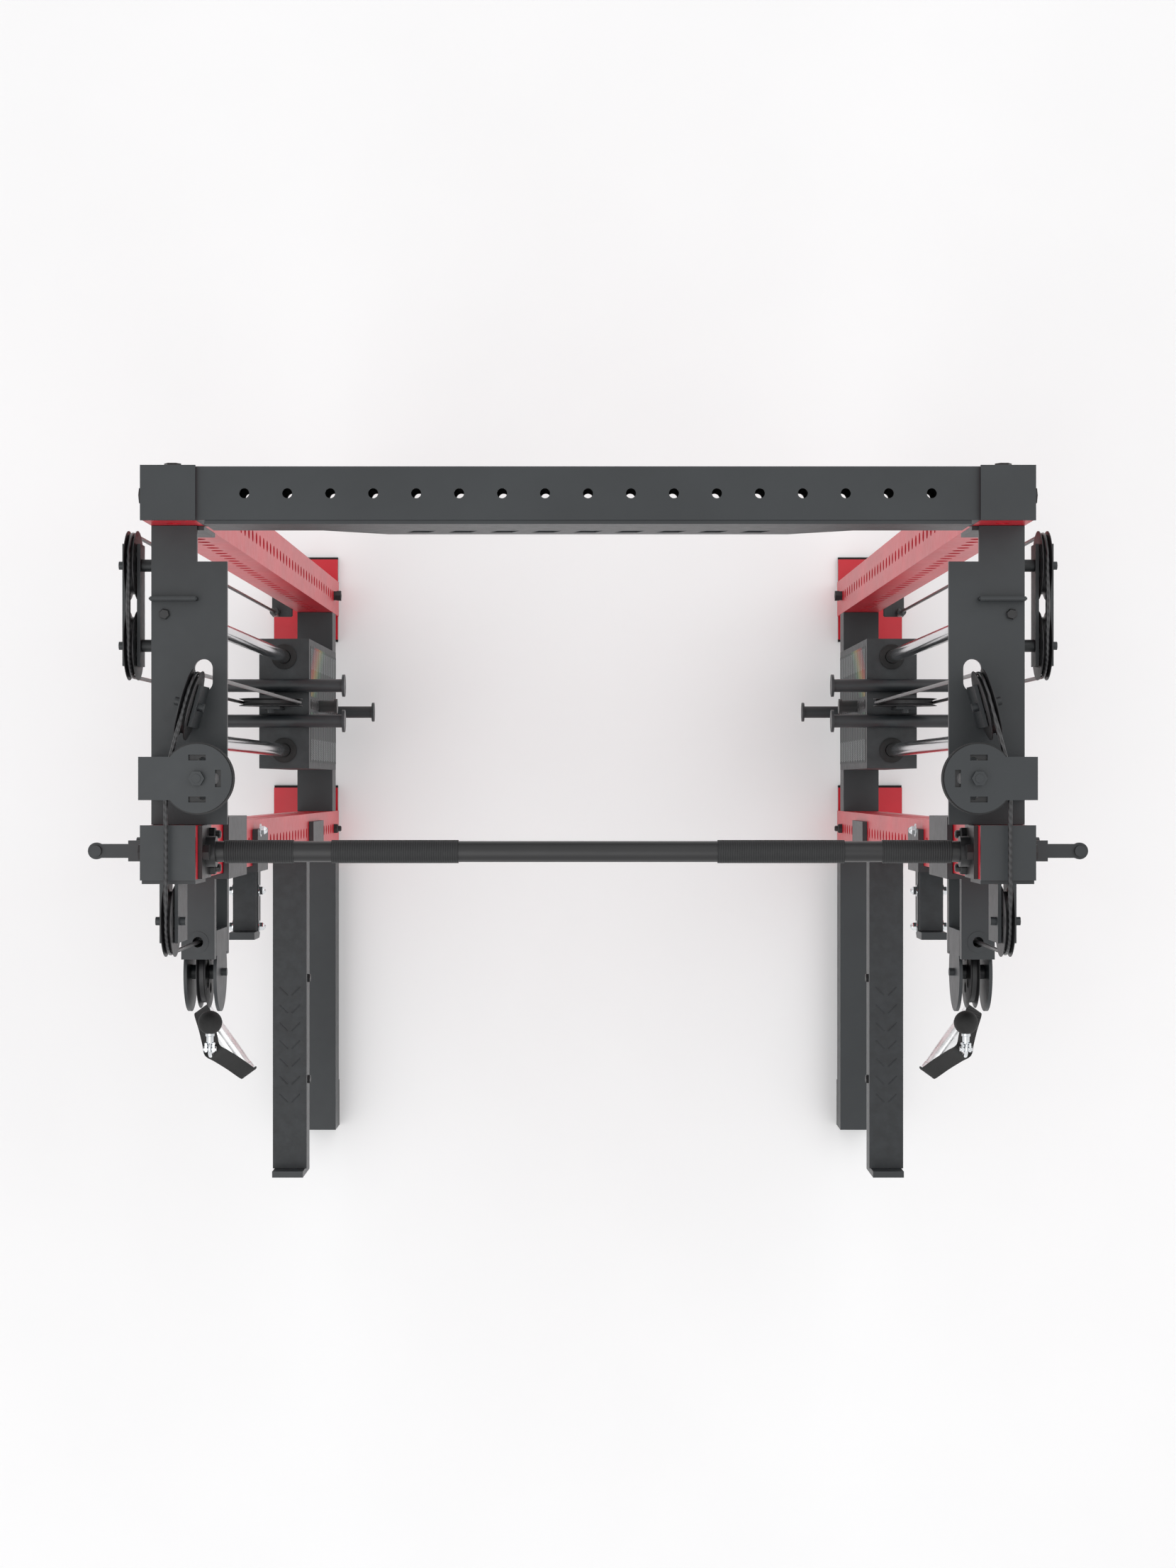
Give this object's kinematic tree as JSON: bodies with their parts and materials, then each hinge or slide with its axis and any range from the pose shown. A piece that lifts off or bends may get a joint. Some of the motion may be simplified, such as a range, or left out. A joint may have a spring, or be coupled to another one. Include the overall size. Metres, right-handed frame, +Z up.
{
  "type": "half rack with twin cable weight stacks",
  "caption": "Half rack with punched uprights, a pull-up bar, J-cups and spotter arms, and on each side a pin-selected weight stack with an adjustable cable pulley.",
  "frame": {"origin": "on the floor, on the symmetry plane, under the middle of the machine's length", "axes": "+X to the right seen from the front, +Y to the back, +Z up"},
  "size_m": [1.434, 1.266, 2.246],
  "materials": {
    "red_powder_coat": "satin powder coat",
    "grey_powder_coat": "fine textured powder coat",
    "black_steel": "black oxide",
    "stack_iron": "matt black",
    "chrome": "polished",
    "bright_steel": "satin",
    "black_plastic": "moulded nylon",
    "black_rubber": "matt rubber",
    "cable_jacket": "smooth jacket",
    "webbing": "woven nylon"
  },
  "bodies": {
    "frame": {"front_upright_left": "red_powder_coat", "front_upright_right": "red_powder_coat", "rear_upright_left": "red_powder_coat", "rear_upright_right": "red_powder_coat", "base_rails": "grey_powder_coat", "feet_and_bumpers": "black_rubber", "upright_caps": "grey_powder_coat", "top_crossmember": "grey_powder_coat", "crossmember_panel": "grey_powder_coat", "pull_up_bar": "grey_powder_coat", "bar_grips": "black_rubber", "pulley_decks": "grey_powder_coat", "guide_rods": "chrome", "resting_plates": "stack_iron", "pulley_brackets": "grey_powder_coat", "outer_pulley_blocks": "grey_powder_coat", "j_cups": "grey_powder_coat", "spotter_arms": "grey_powder_coat", "liners_and_pads": "black_plastic", "pegs_and_lugs": "grey_powder_coat", "frame_bolts": "black_steel", "fixed_cables": "cable_jacket", "stack_cable_left": "cable_jacket", "stack_cable_right": "cable_jacket", "trolley_cable_left": "cable_jacket", "trolley_cable_right": "cable_jacket"},
    "stack_left": {"lifted_plates_left": "stack_iron", "stack_head_left": "stack_iron", "horns_and_clevis_left": "grey_powder_coat"},
    "selector_pin_left": {"selector_pin_left": "black_steel"},
    "lifting_pulley_left": {"lifting_pulley_left": "black_plastic"},
    "front_pulley_left": {"front_pulley_left": "black_plastic"},
    "flat_pulley_left": {"flat_pulley_left": "black_plastic"},
    "angled_pulley_left": {"angled_pulley_left": "black_plastic"},
    "outer_pulley_front_left": {"outer_pulley_front_left": "black_plastic"},
    "outer_pulley_rear_left": {"outer_pulley_rear_left": "black_plastic"},
    "trolley_left": {"trolley_left": "grey_powder_coat"},
    "pop_pin_left": {"pop_pin_left": "black_steel"},
    "swivel_head_left": {"swivel_head_left": "grey_powder_coat"},
    "trolley_pulley_left": {"trolley_pulley_left": "black_plastic"},
    "handle_left": {"cable_stop_left": "chrome", "handle_grip_left": "bright_steel", "handle_strap_left": "webbing"},
    "stack_right": {"lifted_plates_right": "stack_iron", "stack_head_right": "stack_iron", "horns_and_clevis_right": "grey_powder_coat"},
    "selector_pin_right": {"selector_pin_right": "black_steel"},
    "lifting_pulley_right": {"lifting_pulley_right": "black_plastic"},
    "front_pulley_right": {"front_pulley_right": "black_plastic"},
    "flat_pulley_right": {"flat_pulley_right": "black_plastic"},
    "angled_pulley_right": {"angled_pulley_right": "black_plastic"},
    "outer_pulley_front_right": {"outer_pulley_front_right": "black_plastic"},
    "outer_pulley_rear_right": {"outer_pulley_rear_right": "black_plastic"},
    "trolley_right": {"trolley_right": "grey_powder_coat"},
    "pop_pin_right": {"pop_pin_right": "black_steel"},
    "swivel_head_right": {"swivel_head_right": "grey_powder_coat"},
    "trolley_pulley_right": {"trolley_pulley_right": "black_plastic"},
    "handle_right": {"cable_stop_right": "chrome", "handle_grip_right": "bright_steel", "handle_strap_right": "webbing"}
  },
  "joints": [
    {"name": "stack_lift_left", "type": "slide", "parent": "frame", "child": "stack_left", "axis": [0, 0, 1], "range_m": [0, 0.55], "deforming": ["stack_cable_left"]},
    {"name": "selector_pin_pull_left", "type": "slide", "parent": "stack_left", "child": "selector_pin_left", "axis": [1, 0, 0], "range_m": [0, 0.07]},
    {"name": "lifting_pulley_spin_left", "type": "hinge", "parent": "stack_left", "child": "lifting_pulley_left", "pos_m": [-0.6026, 0.289, 0.827], "axis": [0, 1, 0], "continuous": true},
    {"name": "front_pulley_spin_left", "type": "hinge", "parent": "frame", "child": "front_pulley_left", "pos_m": [-0.5855, -0.0585, 2.18], "axis": [1, 0, 0], "continuous": true},
    {"name": "flat_pulley_spin_left", "type": "hinge", "parent": "frame", "child": "flat_pulley_left", "pos_m": [-0.5405, 0.14163, 2.225], "axis": [0, 0, 1], "continuous": true},
    {"name": "angled_pulley_spin_left", "type": "hinge", "parent": "frame", "child": "angled_pulley_left", "pos_m": [-0.55925, 0.24553, 2.18], "axis": [0.9659, -0.2588, 0], "continuous": true},
    {"name": "outer_pulley_front_spin_left", "type": "hinge", "parent": "frame", "child": "outer_pulley_front_left", "pos_m": [-0.6576, 0.334, 2.06], "axis": [1, 0, 0], "continuous": true},
    {"name": "outer_pulley_rear_spin_left", "type": "hinge", "parent": "frame", "child": "outer_pulley_rear_left", "pos_m": [-0.6576, 0.45, 2.06], "axis": [1, 0, 0], "continuous": true},
    {"name": "trolley_slide_left", "type": "slide", "parent": "frame", "child": "trolley_left", "axis": [0, 0, 1], "range_m": [-0.1, 0.15], "deforming": ["trolley_cable_left"]},
    {"name": "pop_pin_pull_left", "type": "slide", "parent": "trolley_left", "child": "pop_pin_left", "axis": [-1, 0, 0], "range_m": [-0.022, 0]},
    {"name": "head_swivel_left", "type": "hinge", "parent": "trolley_left", "child": "swivel_head_left", "pos_m": [-0.5855, -0.1035, 1.833], "axis": [0, 0, 1], "range_deg": [-60, 60]},
    {"name": "trolley_pulley_spin_left", "type": "hinge", "parent": "swivel_head_left", "child": "trolley_pulley_left", "pos_m": [-0.5855, -0.1535, 1.833], "axis": [1, 0, 0], "continuous": true},
    {"name": "handle_pull_left", "type": "slide", "parent": "swivel_head_left", "child": "handle_left", "axis": [0, -1, 0], "range_m": [0, 1.1]},
    {"name": "stack_lift_right", "type": "slide", "parent": "frame", "child": "stack_right", "axis": [0, 0, 1], "range_m": [0, 0.55], "deforming": ["stack_cable_right"]},
    {"name": "selector_pin_pull_right", "type": "slide", "parent": "stack_right", "child": "selector_pin_right", "axis": [-1, 0, 0], "range_m": [0, 0.07]},
    {"name": "lifting_pulley_spin_right", "type": "hinge", "parent": "stack_right", "child": "lifting_pulley_right", "pos_m": [0.6026, 0.289, 0.827], "axis": [0, 1, 0], "continuous": true},
    {"name": "front_pulley_spin_right", "type": "hinge", "parent": "frame", "child": "front_pulley_right", "pos_m": [0.5855, -0.0585, 2.18], "axis": [1, 0, 0], "continuous": true},
    {"name": "flat_pulley_spin_right", "type": "hinge", "parent": "frame", "child": "flat_pulley_right", "pos_m": [0.5405, 0.14163, 2.225], "axis": [0, 0, 1], "continuous": true},
    {"name": "angled_pulley_spin_right", "type": "hinge", "parent": "frame", "child": "angled_pulley_right", "pos_m": [0.55925, 0.24553, 2.18], "axis": [0.9659, 0.2588, 0], "continuous": true},
    {"name": "outer_pulley_front_spin_right", "type": "hinge", "parent": "frame", "child": "outer_pulley_front_right", "pos_m": [0.6576, 0.334, 2.06], "axis": [1, 0, 0], "continuous": true},
    {"name": "outer_pulley_rear_spin_right", "type": "hinge", "parent": "frame", "child": "outer_pulley_rear_right", "pos_m": [0.6576, 0.45, 2.06], "axis": [1, 0, 0], "continuous": true},
    {"name": "trolley_slide_right", "type": "slide", "parent": "frame", "child": "trolley_right", "axis": [0, 0, 1], "range_m": [-0.1, 0.15], "deforming": ["trolley_cable_right"]},
    {"name": "pop_pin_pull_right", "type": "slide", "parent": "trolley_right", "child": "pop_pin_right", "axis": [1, 0, 0], "range_m": [-0.022, 0]},
    {"name": "head_swivel_right", "type": "hinge", "parent": "trolley_right", "child": "swivel_head_right", "pos_m": [0.5855, -0.1035, 1.833], "axis": [0, 0, 1], "range_deg": [-60, 60]},
    {"name": "trolley_pulley_spin_right", "type": "hinge", "parent": "swivel_head_right", "child": "trolley_pulley_right", "pos_m": [0.5855, -0.1535, 1.833], "axis": [1, 0, 0], "continuous": true},
    {"name": "handle_pull_right", "type": "slide", "parent": "swivel_head_right", "child": "handle_right", "axis": [0, -1, 0], "range_m": [0, 1.1]}
  ],
  "couplings": [
    {"joint": "handle_pull_left", "follows": "stack_lift_left", "ratio": 2},
    {"joint": "lifting_pulley_spin_left", "follows": "stack_lift_left", "rad_per_m": 18.182},
    {"joint": "front_pulley_spin_left", "follows": "stack_lift_left", "rad_per_m": 44.444},
    {"joint": "flat_pulley_spin_left", "follows": "stack_lift_left", "rad_per_m": 44.444},
    {"joint": "angled_pulley_spin_left", "follows": "stack_lift_left", "rad_per_m": 44.444},
    {"joint": "trolley_pulley_spin_left", "follows": "stack_lift_left", "rad_per_m": 40},
    {"joint": "handle_pull_right", "follows": "stack_lift_right", "ratio": 2},
    {"joint": "lifting_pulley_spin_right", "follows": "stack_lift_right", "rad_per_m": -18.182},
    {"joint": "front_pulley_spin_right", "follows": "stack_lift_right", "rad_per_m": 44.444},
    {"joint": "flat_pulley_spin_right", "follows": "stack_lift_right", "rad_per_m": -44.444},
    {"joint": "angled_pulley_spin_right", "follows": "stack_lift_right", "rad_per_m": 44.444},
    {"joint": "trolley_pulley_spin_right", "follows": "stack_lift_right", "rad_per_m": 40}
  ]
}
